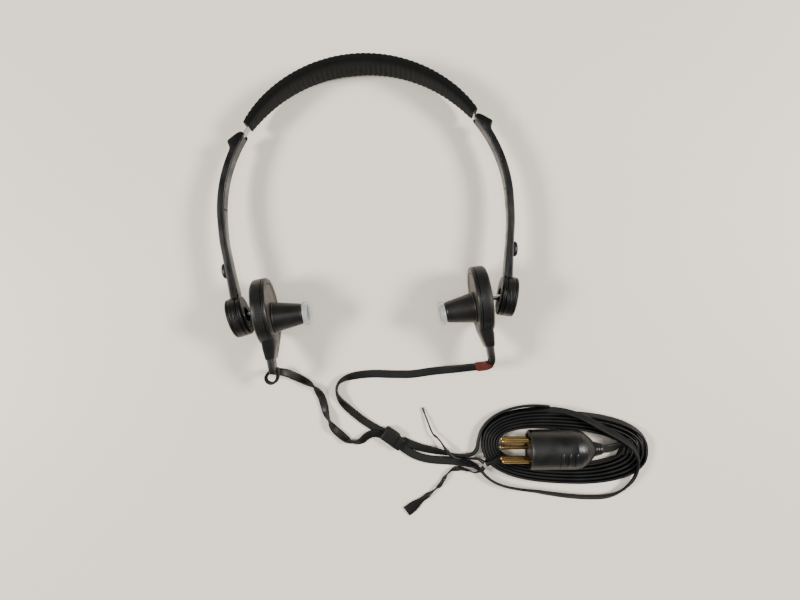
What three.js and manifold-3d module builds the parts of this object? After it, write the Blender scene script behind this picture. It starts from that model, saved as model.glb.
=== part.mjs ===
// Ear headphones on a light spring headband, lying flat, with a flat cable wound beside them.
// Millimetres. +X is the wearer's one side, +Y the crown of the band, +Z up from the table.
// The origin is on the table under the middle of the headset. The sides are drawn as the +X one:
// round pieces are turned about an axis that points from the arm in towards the head.
import * as THREE from "three";
import { mergeVertices } from "three/addons/utils/BufferGeometryUtils.js";
import Module from "manifold-3d";

// Driving dimensions -------------------------------------------------------------------------
const GAP = 0.3; // clearance between neighbouring pieces
const EAR_HEIGHT = 16.1; // middle of the ear pieces above the table
const HEADSET_SETBACK = 44.2; // from the hinge drums to the middle of the headset, along Y
const BAND_TILT = THREE.MathUtils.degToRad(3.1); // the crown lies lower than the ear pieces
const ORIGIN_SHIFT = new THREE.Vector3(0.155, -1.285, 0.001); // centres the headset on the origin

const ARC_CENTRE_Y = 48; // centre of the band's arc, from the line of the hinge drums
const STRIP_RADIUS = 68.15;
const STRIP_THICKNESS = 0.4;
const STRIP_WIDTH = 5.6;
const STRIP_END_ANGLE = 8; // degrees above the horizontal, inside the arms

const PAD_END_ANGLE = 38.6;
const PAD_INNER_RADIUS = 67;
const PAD_END_RADIUS = 70.9; // outer radius at the thinner ends
const PAD_CROWN = 1.5; // how much thicker the pad is at the top
const PAD_WIDTH = 18;
const PAD_END_WIDTH = 12;

const ARM_TOP_ANGLE = 35.6;
const ARM_INNER_RADIUS = 66.9;
const ARM_OUTER_RADIUS = 69.6;
const ARM_WIDTH = 7.4;
const ARM_REST_SLIDE = THREE.MathUtils.degToRad(0.4); // right arm pulled out, left pushed in
const CHANNEL_WIDTH = 6.2;
const CHANNEL_RADIUS = 68.65; // floor of the channel that the strip slides in
const CHANNEL_END_ANGLE = 3;
const COVER_THICKNESS = 0.5;
const RIDGE_HEIGHT = 2.9; // thumb ridge near the top of the arm
const BUTTON_LENGTH = 8;
const BUTTON_WIDTH = 5;
const BUTTON_HEIGHT = 1.9;
const BUTTON_Y = 22.6;

const DRUM_X = 63.5;
const DRUM_Y = 0.4;
const DRUM_RADIUS = 9.5;
const DRUM_HALF = 3.8; // half its thickness
const DRUM_TILT = THREE.MathUtils.degToRad(13.2);
const BALL_RADIUS = 2.4;
const BALL_DEPTH = 0.6; // ball's centre, inward of the drum's middle
const STEM_RADIUS = 1.1;

const POD_RADIUS = 16;
const POD_BACK = 8; // distances inward from the ball's centre
const POD_SEAM = 13.6;
const POD_FACE = 15.5;
const PLATE_RADIUS = 12.9;
const NOZZLE_DROP = 3.2; // nozzle axis below the middle of the ear piece
const NOZZLE_CANT = THREE.MathUtils.degToRad(2);
const NOZZLE_LENGTH = 13;
const NOZZLE_BASE_RADIUS = 7.1;
const NOZZLE_END_RADIUS = 4.85;
const TAIL_WIDTH = 12;
const TAIL_STEP_Y = -17; // end of the tail's moulded part, where the soft part starts
const TAIL_SHOULDER_Y = -23;
const TAIL_END_Y = -29;
const RIGHT_REST = THREE.MathUtils.degToRad(3.9); // how each ear piece is left turned on its ball
const LEFT_REST = THREE.MathUtils.degToRad(-5.4);

const CORD_RADIUS = 1.3; // the flat cable is 4 by 1.3 mm; its stand-in tube is round
const HANK_CENTRE = new THREE.Vector3(87.4, -121, 0);
const HANK_HALF_LENGTH = 41;
const HANK_HALF_WIDTH = 18.6;
const HANK_TURN_BAND = 7.4; // radial width of the wound turns
const HANK_LIFT = 0.75; // the turns lie on the tie that goes under them
const HANK_HEIGHT = 4;
const HANK_LEAN = THREE.MathUtils.degToRad(-7.8);
const HANK_SQUARENESS = 2.5;

const PLUG_FRONT = new THREE.Vector3(68.4, -119.2, 9.7); // middle of its front face
const PLUG_TURN = THREE.MathUtils.degToRad(-4.3);
const PLUG_RADIUS = 9.6;
const PLUG_LENGTH = 31;
const PIN_COUNT = 5;
const PIN_PLACES = 6; // the pins stand on six even places, with the top one left empty
const PIN_CIRCLE = 5.5;
const PIN_RADIUS = 1.15;
const PIN_LENGTH = 13.4;

const COARSE = 24; // sides of small round pieces
const FINE = 28; // sides of the ear piece

// Finishes -----------------------------------------------------------------------------------
const FINISH = {
  foam: [0x1e2321, 0.95, 0],
  spring: [0xb9bbb8, 0.35, 0.9],
  armPlastic: [0x242724, 0.42, 0],
  coverPlastic: [0x6f6d68, 0.5, 0],
  podPlastic: [0x26282a, 0.5, 0],
  facePlate: [0x78716a, 0.4, 0.3],
  nozzlePlastic: [0x3e3a36, 0.5, 0],
  silicone: [0xd8dcdc, 0.2, 0],
  chrome: [0xd5d6d8, 0.12, 1],
  electrode: [0xb08d4c, 0.4, 0.9],
  film: [0xcfd2c8, 0.3, 0],
  cable: [0x3a3c3d, 0.55, 0],
  marker: [0x8c3228, 0.6, 0],
  plugRubber: [0x35373a, 0.55, 0],
  plugInsert: [0x1a1b1c, 0.5, 0],
  gold: [0xc9a24e, 0.25, 1],
  tie: [0x1b1c1c, 0.6, 0],
};

function piece(name, geometry, finish) {
  const [color, roughness, metalness] = FINISH[finish];
  const mesh = new THREE.Mesh(geometry, new THREE.MeshStandardMaterial({ color, roughness, metalness }));
  mesh.name = name;
  return mesh;
}

// Joining and cutting ------------------------------------------------------------------------
const wasm = await Module();
wasm.setup();

function toSolid(geometry) {
  const bare = geometry.clone();
  bare.deleteAttribute("normal");
  bare.deleteAttribute("uv");
  const merged = mergeVertices(bare, 1e-4);
  return new wasm.Manifold(
    new wasm.Mesh({
      numProp: 3,
      vertProperties: new Float32Array(merged.attributes.position.array),
      triVerts: new Uint32Array(merged.index.array),
    }),
  );
}

function fromSolid(solid) {
  const mesh = solid.getMesh();
  const geometry = new THREE.BufferGeometry();
  geometry.setAttribute("position", new THREE.BufferAttribute(mesh.vertProperties, 3));
  geometry.setIndex(new THREE.BufferAttribute(mesh.triVerts, 1));
  geometry.computeVertexNormals();
  return geometry;
}

const cut = (body, ...tools) =>
  fromSolid(tools.reduce((left, tool) => left.subtract(toSolid(tool)), toSolid(body)));
const join = (body, ...others) =>
  fromSolid(others.reduce((whole, other) => whole.add(toSolid(other)), toSolid(body)));

// Shapes -------------------------------------------------------------------------------------
// Extrudes an outline drawn in the XY plane, with its middle on the plane.
function slab(shape, thickness, curveSegments = 12) {
  const options = { depth: thickness, bevelEnabled: false, curveSegments };
  return new THREE.ExtrudeGeometry(shape, options).translate(0, 0, -thickness / 2);
}

// A lathe piece about an axis that points inward, along -X. Each point is [radius, distance in].
function turned(profile, sides = COARSE) {
  const points = profile.map(([radius, inward]) => new THREE.Vector2(radius, inward));
  return new THREE.LatheGeometry(points, sides).rotateZ(Math.PI / 2);
}

// The same for a piece with a bore, whose profile closes on itself.
const turnedRing = (profile, sides) => turned([...profile, profile[0]], sides);

// Part of a flat ring about the band's centre, between two radii and two angles in degrees.
function arcBand(innerRadius, outerRadius, fromAngle, toAngle, width, segments) {
  const from = THREE.MathUtils.degToRad(fromAngle);
  const to = THREE.MathUtils.degToRad(toAngle);
  const shape = new THREE.Shape();
  shape.absarc(0, ARC_CENTRE_Y, outerRadius, from, to, false);
  shape.absarc(0, ARC_CENTRE_Y, innerRadius, to, from, true);
  return slab(shape, width, segments);
}

function onArc(radius, angle) {
  const a = THREE.MathUtils.degToRad(angle);
  return new THREE.Vector2(radius * Math.cos(a), ARC_CENTRE_Y + radius * Math.sin(a));
}

// A round tube along a list of points.
function tube(route, radius, steps, sides = 8) {
  const section = new THREE.Shape();
  section.absarc(0, 0, radius, 0, 2 * Math.PI, false);
  const extrudePath = new THREE.CatmullRomCurve3(route.map((p) => new THREE.Vector3(...p)));
  const options = { extrudePath, steps, curveSegments: sides / 2, bevelEnabled: false };
  return new THREE.ExtrudeGeometry(section, options);
}

// Headband -----------------------------------------------------------------------------------
const headset = new THREE.Group();
headset.position.set(0, -HEADSET_SETBACK, EAR_HEIGHT);
headset.rotation.x = -BAND_TILT;

function springStrip() {
  const inner = STRIP_RADIUS - STRIP_THICKNESS / 2;
  const outer = STRIP_RADIUS + STRIP_THICKNESS / 2;
  return arcBand(inner, outer, STRIP_END_ANGLE, 180 - STRIP_END_ANGLE, STRIP_WIDTH, 22);
}

function headbandPad() {
  const steps = 26;
  const shape = new THREE.Shape();
  for (let i = 0; i <= steps; i++) {
    const share = i / steps;
    const angle = PAD_END_ANGLE + share * (180 - 2 * PAD_END_ANGLE);
    const at = onArc(PAD_END_RADIUS + PAD_CROWN * Math.sin(Math.PI * share), angle);
    if (i === 0) shape.moveTo(at.x, at.y);
    else shape.lineTo(at.x, at.y);
  }
  const from = THREE.MathUtils.degToRad(PAD_END_ANGLE);
  shape.absarc(0, ARC_CENTRE_Y, PAD_INNER_RADIUS, Math.PI - from, from, true);
  const clearance = STRIP_THICKNESS / 2 + GAP;
  const slot = arcBand(
    STRIP_RADIUS - clearance,
    STRIP_RADIUS + clearance,
    PAD_END_ANGLE - 2,
    182 - PAD_END_ANGLE,
    STRIP_WIDTH + 2 * GAP,
    16,
  );
  const body = slab(shape, PAD_WIDTH, 14);
  // narrower towards both ends
  const at = body.attributes.position;
  for (let i = 0; i < at.count; i++) {
    const level = (at.getY(i) - ARC_CENTRE_Y) / Math.hypot(at.getX(i), at.getY(i) - ARC_CENTRE_Y);
    const endLevel = Math.sin(from);
    const share = Math.min(1, Math.max(0, (level - endLevel) / (1 - endLevel)));
    const width = PAD_END_WIDTH + (PAD_WIDTH - PAD_END_WIDTH) * Math.sqrt(share);
    at.setZ(i, Math.sign(at.getZ(i)) * (width / 2));
  }
  return cut(body, slot);
}

headset.add(piece("spring_strip", springStrip(), "spring"));
headset.add(piece("headband_pad", headbandPad(), "foam"));

// One side, drawn as the +X side -----------------------------------------------------------
const drumFrame = new THREE.Matrix4()
  .makeRotationZ(-DRUM_TILT)
  .setPosition(DRUM_X, DRUM_Y, 0);
const drumTurned = (geometry) => geometry.applyMatrix4(drumFrame);

function armOutline() {
  const shape = new THREE.Shape();
  const start = onArc(ARM_INNER_RADIUS, ARM_TOP_ANGLE - 1);
  shape.moveTo(start.x, start.y);
  const from = THREE.MathUtils.degToRad(ARM_TOP_ANGLE - 1);
  shape.absarc(0, ARC_CENTRE_Y, ARM_INNER_RADIUS, from, 0, true);
  // the lower inner edge, which steps in where it grows into the foot
  shape.splineThru([new THREE.Vector2(66.7, 37.5), new THREE.Vector2(65.5, 28), new THREE.Vector2(64.2, 19)]);
  shape.lineTo(63.4, 18.6);
  shape.lineTo(62.4, 7.2);
  shape.lineTo(66.2, 7.2);
  // the lower outer edge, back up to the round part
  shape.splineThru([
    new THREE.Vector2(67.2, 17.4),
    new THREE.Vector2(68.2, 27.5),
    new THREE.Vector2(69.3, 37),
    new THREE.Vector2(ARM_OUTER_RADIUS, ARC_CENTRE_Y),
  ]);
  const ridgeFoot = 27.6;
  shape.absarc(0, ARC_CENTRE_Y, ARM_OUTER_RADIUS, 0, THREE.MathUtils.degToRad(ridgeFoot), false);
  const ridge = [
    onArc(ARM_OUTER_RADIUS + RIDGE_HEIGHT, 29.2),
    onArc(ARM_OUTER_RADIUS + RIDGE_HEIGHT, 30.3),
    onArc(ARM_OUTER_RADIUS + 0.2, ARM_TOP_ANGLE - 1),
    onArc(ARM_OUTER_RADIUS - 0.8, ARM_TOP_ANGLE),
    onArc(ARM_INNER_RADIUS + 0.8, ARM_TOP_ANGLE),
  ];
  ridge.forEach((p) => shape.lineTo(p.x, p.y));
  return shape;
}

function arm() {
  const channel = arcBand(
    ARM_INNER_RADIUS - 1,
    CHANNEL_RADIUS,
    CHANNEL_END_ANGLE,
    ARM_TOP_ANGLE + 2,
    CHANNEL_WIDTH,
    8,
  );
  const cutRadius = DRUM_RADIUS + GAP;
  const roomForCollar = drumTurned(turned([[0, 1.4], [cutRadius, 1.4], [cutRadius, 6], [0, 6]]));
  const roomForCap = drumTurned(turned([[0, -6], [cutRadius, -6], [cutRadius, -2.2], [0, -2.2]]));
  const cup = drumTurned(
    turnedRing([[6.2, -2.2], [DRUM_RADIUS, -2.2], [DRUM_RADIUS, 1.4], [6.2, 1.4]], FINE),
  );
  return join(cut(slab(armOutline(), ARM_WIDTH, 7), channel, roomForCollar, roomForCap), cup);
}

function armCover() {
  const inner = ARM_INNER_RADIUS + 0.05;
  const width = CHANNEL_WIDTH - 2 * GAP;
  return arcBand(inner, inner + COVER_THICKNESS, CHANNEL_END_ANGLE + 0.4, ARM_TOP_ANGLE - 1.5, width, 6);
}

function button() {
  const shape = new THREE.Shape();
  shape.absellipse(0, 0, BUTTON_LENGTH / 2 - 0.6, BUTTON_WIDTH / 2 - 0.6, 0, 2 * Math.PI, false, 0);
  const options = {
    depth: BUTTON_HEIGHT - 0.8,
    bevelThickness: 0.8,
    bevelSize: 0.6,
    bevelSegments: 2,
    curveSegments: 10,
  };
  const geometry = new THREE.ExtrudeGeometry(shape, options);
  // long side along the arm, domed side outward, its flat underside cut off
  geometry.rotateZ(Math.PI / 2).rotateY(Math.PI / 2);
  const underside = new THREE.BoxGeometry(2, 20, 20).translate(-1, 0, 0);
  return cut(geometry, underside).rotateZ(-0.1).translate(68.05, BUTTON_Y, 0);
}

const drumCap = () =>
  turned([[0, -DRUM_HALF], [8.7, -DRUM_HALF], [9.3, -DRUM_HALF + 0.5], [9.3, -2.5], [0, -2.5]], FINE);

const drumCollar = () =>
  turnedRing([[3.6, 2.3], [5.9, 2.3], [6.2, 1.7], [DRUM_RADIUS, 1.7], [DRUM_RADIUS, 3.3], [9, DRUM_HALF], [3.6, DRUM_HALF]]);

// A split bush that grips the ball and is open towards the stem.
function ballSocket() {
  const cavity = BALL_RADIUS + GAP;
  const profile = [[5.9, 2], [5.9, -1.9]];
  const reach = [-2.45, -1.9, -1.2, -0.4, 0.5, 1.4];
  reach.forEach((s) => profile.push([Math.sqrt(cavity ** 2 - s ** 2), BALL_DEPTH + s]));
  return turnedRing(profile.reverse());
}

// Ball, stem and flange in one. The rest of these profiles start from the ball's centre.
function ballStem() {
  const profile = [];
  for (let i = 0; i <= 8; i++) {
    const a = -Math.PI / 2 + (i / 8) * (Math.PI - Math.asin(STEM_RADIUS / BALL_RADIUS));
    profile.push([Math.max(0, BALL_RADIUS * Math.cos(a)), BALL_RADIUS * Math.sin(a)]);
  }
  profile.push([STEM_RADIUS, POD_BACK + 1.7], [3.6, POD_BACK + 1.7], [3.6, POD_BACK + 2.5], [0, POD_BACK + 2.5]);
  return turned(profile, 16);
}

// Back shell of the ear piece, with the first part of its cable tail.
function housing() {
  const shell = turnedRing(
    [
      [1.5, POD_BACK],
      [12.6, POD_BACK],
      [14.9, POD_BACK + 0.7],
      [POD_RADIUS, POD_BACK + 2.3],
      [POD_RADIUS, POD_SEAM],
      [14.4, POD_SEAM],
      [14.4, POD_BACK + 2.4],
      [13, POD_BACK + 1.4],
      [1.5, POD_BACK + 1.4],
    ],
    FINE,
  );
  const outline = new THREE.Shape();
  const root = -14.9;
  outline.moveTo(-POD_SEAM + 0.1, root);
  outline.lineTo(-POD_BACK - 1, root);
  outline.lineTo(-POD_BACK - 0.5, TAIL_STEP_Y);
  outline.lineTo(-POD_SEAM + 0.1, TAIL_STEP_Y);
  return join(shell, slab(outline, TAIL_WIDTH));
}

function strainRelief() {
  const top = TAIL_STEP_Y - GAP;
  const outline = new THREE.Shape();
  outline.moveTo(-8.6, top);
  outline.lineTo(-13.5, top);
  outline.lineTo(-13.2, TAIL_SHOULDER_Y);
  outline.lineTo(-12.8, TAIL_SHOULDER_Y - 0.4);
  outline.lineTo(-12.2, TAIL_END_Y);
  outline.lineTo(-9.9, TAIL_END_Y);
  outline.lineTo(-9.5, TAIL_SHOULDER_Y - 0.4);
  outline.lineTo(-9.1, TAIL_SHOULDER_Y);
  const sideCut = new THREE.Shape();
  sideCut.moveTo(TAIL_WIDTH / 2 - 0.3, top + 1);
  sideCut.lineTo(TAIL_WIDTH / 2 + 3, top + 1);
  sideCut.lineTo(TAIL_WIDTH / 2 + 3, TAIL_END_Y - 1);
  sideCut.lineTo(3.4, TAIL_END_Y - 1);
  const upper = slab(sideCut, 30).rotateY(-Math.PI / 2);
  const lower = upper.clone().rotateY(Math.PI);
  return cut(slab(outline, TAIL_WIDTH - 0.6), upper, lower);
}

const frontRing = () =>
  turnedRing(
    [[PLATE_RADIUS + GAP, POD_SEAM + GAP], [POD_RADIUS, POD_SEAM + GAP], [POD_RADIUS, POD_FACE - 0.4],
      [15.5, POD_FACE], [PLATE_RADIUS + GAP, POD_FACE]],
    FINE,
  );

function facePlate() {
  const shape = new THREE.Shape();
  shape.absarc(0, 0, PLATE_RADIUS, 0, 2 * Math.PI, false);
  const hole = new THREE.Path();
  hole.absarc(0, -NOZZLE_DROP, 3.4, 0, 2 * Math.PI, true);
  shape.holes.push(hole);
  const thickness = 0.7;
  return slab(shape, thickness, COARSE / 2)
    .rotateY(-Math.PI / 2)
    .translate(-POD_FACE + 0.1 + thickness / 2, 0, 0);
}

const disc = (radius, inward, thickness) =>
  turned([[0, inward], [radius, inward], [radius, inward + thickness], [0, inward + thickness]]);

function onNozzle(geometry) {
  geometry.rotateZ(NOZZLE_CANT);
  return geometry.translate(-POD_FACE - 0.8, -NOZZLE_DROP, 0);
}

const nozzle = () =>
  onNozzle(
    turnedRing([
      [3.3, 0],
      [NOZZLE_BASE_RADIUS, 0],
      [NOZZLE_BASE_RADIUS - 0.1, 1],
      [NOZZLE_END_RADIUS, NOZZLE_LENGTH - 1],
      [NOZZLE_END_RADIUS, NOZZLE_LENGTH],
      [4, NOZZLE_LENGTH],
      [4, NOZZLE_LENGTH + 2],
      [3.3, NOZZLE_LENGTH + 2],
    ]),
  );

const earTip = () =>
  onNozzle(
    turnedRing([
      [4 + GAP, NOZZLE_LENGTH + GAP],
      [5.4, NOZZLE_LENGTH + GAP],
      [5.65, NOZZLE_LENGTH + 1],
      [5.5, NOZZLE_LENGTH + 2.2],
      [4.9, NOZZLE_LENGTH + 2.8],
      [4 + GAP, NOZZLE_LENGTH + 2.7],
    ]),
  );

function side(name, restTurn) {
  const group = new THREE.Group();
  const add = (to, part, geometry, finish) => to.add(piece(name + "_" + part, geometry, finish));

  add(group, "arm", arm(), "armPlastic");
  add(group, "arm_cover", armCover(), "coverPlastic");
  add(group, "arm_button", button(), "armPlastic");

  const drum = new THREE.Group();
  drum.position.set(DRUM_X, DRUM_Y, 0);
  drum.rotation.z = -DRUM_TILT;
  add(drum, "drum_cap", drumCap(), "armPlastic");
  add(drum, "drum_collar", drumCollar(), "armPlastic");
  add(drum, "ball_socket", ballSocket(), "plugInsert");

  const pod = new THREE.Group();
  pod.position.set(DRUM_X - BALL_DEPTH * Math.cos(DRUM_TILT), DRUM_Y + BALL_DEPTH * Math.sin(DRUM_TILT), 0);
  pod.rotation.z = restTurn;
  add(pod, "ball_stem", ballStem(), "chrome");
  add(pod, "housing", housing(), "podPlastic");
  add(pod, "front_ring", frontRing(), "podPlastic");
  add(pod, "face_plate", facePlate(), "facePlate");
  add(pod, "rear_electrode", disc(13.8, POD_BACK + 2.9, 0.8), "electrode");
  add(pod, "diaphragm", disc(13.8, POD_BACK + 4, 0.4), "film");
  add(pod, "front_electrode", disc(13.8, POD_BACK + 4.7, 0.8), "electrode");
  add(pod, "nozzle", nozzle(), "nozzlePlastic");
  add(pod, "ear_tip", earTip(), "silicone");
  add(pod, "strain_relief", strainRelief(), "podPlastic");
  group.add(drum, pod);
  return group;
}

// Each arm slides on the strip, which turns the whole side about the centre of the band's arc.
function slidOut(sideGroup, angle) {
  const pivot = new THREE.Group();
  pivot.position.y = ARC_CENTRE_Y;
  pivot.rotation.z = -angle;
  sideGroup.position.y = -ARC_CENTRE_Y;
  pivot.add(sideGroup);
  return pivot;
}

const right = slidOut(side("right", RIGHT_REST), ARM_REST_SLIDE);
const left = new THREE.Group();
left.add(slidOut(side("left", LEFT_REST), -ARM_REST_SLIDE));
left.scale.x = -1;
headset.add(right, left);

// Cable --------------------------------------------------------------------------------------
// The middle of the flat cable, from each ear piece to the joint, then to the wound hank.
const LEFT_LEAD_START = [
  [-49.7, -71.9, 17.2],
  [-49.4, -74, 16.2],
  [-50.1, -76.2, 14.8],
  [-52.1, -77.6, 13.2],
  [-54.3, -76.8, 11.5],
  [-55.4, -74.8, 9.8],
  [-54.8, -72.9, 8],
  [-52.9, -72, 6.3],
  [-50.4, -71.8, 5],
  [-47.4, -72.6, 3.6],
  [-44.4, -74.2, 2.4],
  [-41, -76, 1.6],
];
const LEFT_LEAD = [
  [-40.6, -76.2, 1.6],
  [-37.5, -78.1, 1.6],
  [-34.5, -80.5, 2.1],
  [-32.1, -83.6, 1.7],
  [-30.6, -87.1, 1.4],
  [-29.7, -91.1, 1.4],
  [-28.7, -95.4, 1.7],
  [-27.5, -99.1, 2.1],
  [-25.8, -102.5, 1.6],
  [-23.4, -105.7, 1.4],
  [-20.5, -108.4, 1.6],
  [-17.7, -110.5, 2.1],
  [-14.7, -111.1, 2.1],
  [-12.1, -110.4, 2.1],
  [-9.5, -109.2, 2.1],
  [-6.3, -108.1, 2.1],
  [-2.7, -107.6, 2.1],
];
const RIGHT_LEAD_START = [
  [54.1, -74.8, 17.4],
  [54, -76.6, 16.4],
  [52.7, -77.7, 14.8],
  [50.1, -77.9, 12.4],
  [46.5, -77.7, 9.6],
  [42.5, -77.6, 6.6],
  [37.5, -77.7, 4],
  [31.5, -78, 2.2],
  [26.5, -78.6, 1.6],
];
const RIGHT_LEAD = [
  [26.1, -78.6, 1.6],
  [21.5, -78.9, 1.4],
  [16, -79, 1.4],
  [9.5, -78.6, 1.4],
  [3.5, -78.1, 1.4],
  [-2.5, -77.6, 1.4],
  [-8.5, -77.5, 1.4],
  [-13.5, -77.8, 1.5],
  [-18, -79, 1.8],
  [-21.3, -81, 2.1],
  [-22.4, -84.7, 2.1],
  [-21, -88.7, 1.7],
  [-18.5, -92.6, 1.4],
  [-15, -96.3, 1.4],
  [-11, -99.7, 1.5],
  [-7.2, -102.5, 1.8],
  [-3.4, -104, 2.1],
  [-0.6, -105.1, 2.1],
];
const TRUNK_UPPER = [
  [9, -112.5, 2.1],
  [12.5, -114.6, 1.8],
  [17, -116.3, 1.5],
  [21.5, -117.7, 1.5],
  [26, -119, 1.5],
  [29.9, -120.2, 1.8],
  [33.9, -121.5, 2.1],
  [38.9, -122.8, 2.4],
  [45.7, -124.1, 2.75],
];
const TRUNK_LOWER = [
  [6.9, -115.2, 2.1],
  [9.5, -117.3, 1.7],
  [13, -119.2, 1.5],
  [16.9, -121.1, 1.5],
  [21.4, -122.5, 1.5],
  [25.9, -123.6, 1.7],
  [29.9, -124.3, 2],
  [34.4, -125.1, 2.1],
  [38.9, -125.9, 2.4],
  [46.3, -127.1, 2.75],
];
const LOOSE_LOOP = [
  [55.2, -140.6, 2.4],
  [61.6, -142.5, 2],
  [68.6, -144, 1.6],
  [76.1, -145.3, 1.5],
  [84.6, -146.4, 1.5],
  [93.6, -147.1, 1.5],
  [102.6, -147.1, 1.6],
  [110.6, -145.6, 2.6],
  [117.3, -142.3, 4.6],
  [121.9, -136.7, 6.6],
  [123.2, -130.2, 7],
  [121.3, -124.3, 7],
  [116, -119, 6.9],
  [107, -113.9, 6.7],
  [98.1, -110, 6.6],
];
const PLUG_LEAD = [
  [104.8, -121.9, 9.7],
  [108.3, -122.1, 9.1],
  [111.7, -122.5, 7.6],
  [114.7, -122.9, 5.6],
  [116.9, -123.4, 4.2],
];

const cable = new THREE.Group();
cable.add(piece("left_lead_start", tube(LEFT_LEAD_START, CORD_RADIUS, 22), "cable"));
cable.add(piece("left_lead", tube(LEFT_LEAD, CORD_RADIUS, 26), "cable"));
cable.add(piece("right_lead_start", tube(RIGHT_LEAD_START, CORD_RADIUS, 12), "cable"));
cable.add(piece("right_lead", tube(RIGHT_LEAD, CORD_RADIUS, 26), "cable"));
cable.add(piece("trunk_upper", tube(TRUNK_UPPER, CORD_RADIUS, 10), "cable"));
cable.add(piece("trunk_lower", tube(TRUNK_LOWER, CORD_RADIUS, 10), "cable"));
cable.add(piece("loose_loop", tube(LOOSE_LOOP, CORD_RADIUS, 24), "cable"));
cable.add(piece("plug_lead", tube(PLUG_LEAD, CORD_RADIUS, 8), "cable"));

// A red marker sleeve on the right lead, just after its tail.
function markerSleeve() {
  const route = RIGHT_LEAD_START.slice(2, 5);
  return cut(tube(route, 2.3, 6, 10), tube(RIGHT_LEAD_START, CORD_RADIUS + GAP, 12));
}
cable.add(piece("red_marker_sleeve", markerSleeve(), "marker"));

// The flat moulding where the two leads become one cable.
function splitter() {
  const shape = new THREE.Shape();
  const halfLength = 5.6;
  const halfWidth = 3.4;
  const round = 1.2;
  shape.moveTo(-halfLength + round, -halfWidth);
  shape.lineTo(halfLength - round, -halfWidth);
  shape.lineTo(halfLength, -halfWidth + round);
  shape.lineTo(halfLength, halfWidth - round);
  shape.lineTo(halfLength - round, halfWidth);
  shape.lineTo(-halfLength + round, halfWidth);
  shape.lineTo(-halfLength, halfWidth - round);
  shape.lineTo(-halfLength, -halfWidth + round);
  return slab(shape, 4.6);
}
const joint = piece("splitter", splitter(), "plugRubber");
joint.position.set(3.3, -110.1, 2.3);
joint.rotation.z = THREE.MathUtils.degToRad(-39);
cable.add(joint);

// Hank: the wound turns as one ring of rounded outline.
function roundedLoop(halfLength, halfWidth, turn, asHole = false) {
  const loop = asHole ? new THREE.Path() : new THREE.Shape();
  const steps = 40;
  const power = 2 / HANK_SQUARENESS;
  const rounded = (v, half) => half * Math.sign(v) * Math.abs(v) ** power;
  for (let i = 0; i < steps; i++) {
    const a = ((asHole ? -1 : 1) * 2 * Math.PI * i) / steps;
    const x = rounded(Math.cos(a), halfLength);
    const y = rounded(Math.sin(a), halfWidth);
    const at = new THREE.Vector2(x, y).rotateAround(new THREE.Vector2(), turn);
    if (i === 0) loop.moveTo(at.x, at.y);
    else loop.lineTo(at.x, at.y);
  }
  loop.closePath();
  return loop;
}

function hank() {
  const outline = roundedLoop(HANK_HALF_LENGTH, HANK_HALF_WIDTH, HANK_LEAN);
  const inner = [HANK_HALF_LENGTH - HANK_TURN_BAND, HANK_HALF_WIDTH - HANK_TURN_BAND];
  outline.holes.push(roundedLoop(...inner, HANK_LEAN, true));
  return slab(outline, HANK_HEIGHT);
}
const wound = piece("cable_hank", hank(), "cable");
wound.position.copy(HANK_CENTRE).setZ(HANK_LIFT + HANK_HEIGHT / 2);
cable.add(wound);

// Plug, with its pins pointing along -X -------------------------------------------------------
const plug = new THREE.Group();
plug.position.copy(PLUG_FRONT);
plug.rotation.z = PLUG_TURN;

function plugShell() {
  const rear = -PLUG_LENGTH;
  return turnedRing([
    [7.9, 0],
    [PLUG_RADIUS - 0.4, 0],
    [PLUG_RADIUS, -0.6],
    [PLUG_RADIUS, -19],
    [PLUG_RADIUS - 0.6, rear + 8],
    [PLUG_RADIUS - 3.6, rear + 2],
    [PLUG_RADIUS - 5.2, rear],
    [1.8, rear],
    [1.8, -12],
    [7.9, -12],
  ].reverse());
}

function plugInsert() {
  const shape = new THREE.Shape();
  shape.absarc(0, 0, 7.9 - GAP, 0, 2 * Math.PI, false);
  pinPlaces().forEach(([y, z]) => {
    const hole = new THREE.Path();
    hole.absarc(-z, y, PIN_RADIUS + GAP / 2, 0, 2 * Math.PI, true);
    shape.holes.push(hole);
  });
  return slab(shape, 6, 5).rotateY(Math.PI / 2).translate(3.6, 0, 0);
}

function pinPlaces() {
  return Array.from({ length: PIN_COUNT }, (unused, i) => {
    const a = Math.PI / 2 + (2 * Math.PI * (i + 1)) / PIN_PLACES;
    return [PIN_CIRCLE * Math.cos(a), PIN_CIRCLE * Math.sin(a)];
  });
}

const pin = () =>
  turned(
    [[0, -8], [PIN_RADIUS, -8], [PIN_RADIUS, PIN_LENGTH - 0.6], [PIN_RADIUS - 0.5, PIN_LENGTH], [0, PIN_LENGTH]],
    10,
  );

plug.add(piece("plug_shell", plugShell(), "plugRubber"));
plug.add(piece("plug_insert", plugInsert(), "plugInsert"));
pinPlaces().forEach(([y, z], i) => {
  const made = piece("plug_pin_" + (i + 1), pin(), "gold");
  made.position.set(0, y, z);
  plug.add(made);
});
function plugBoot() {
  const front = -PLUG_LENGTH - GAP;
  return turnedRing([[1.4, front - 4.6], [2.2, front - 4.6], [3.6, front], [1.4, front]]);
}
plug.add(piece("plug_cable_boot", plugBoot(), "plugRubber"));
cable.add(plug);

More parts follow.
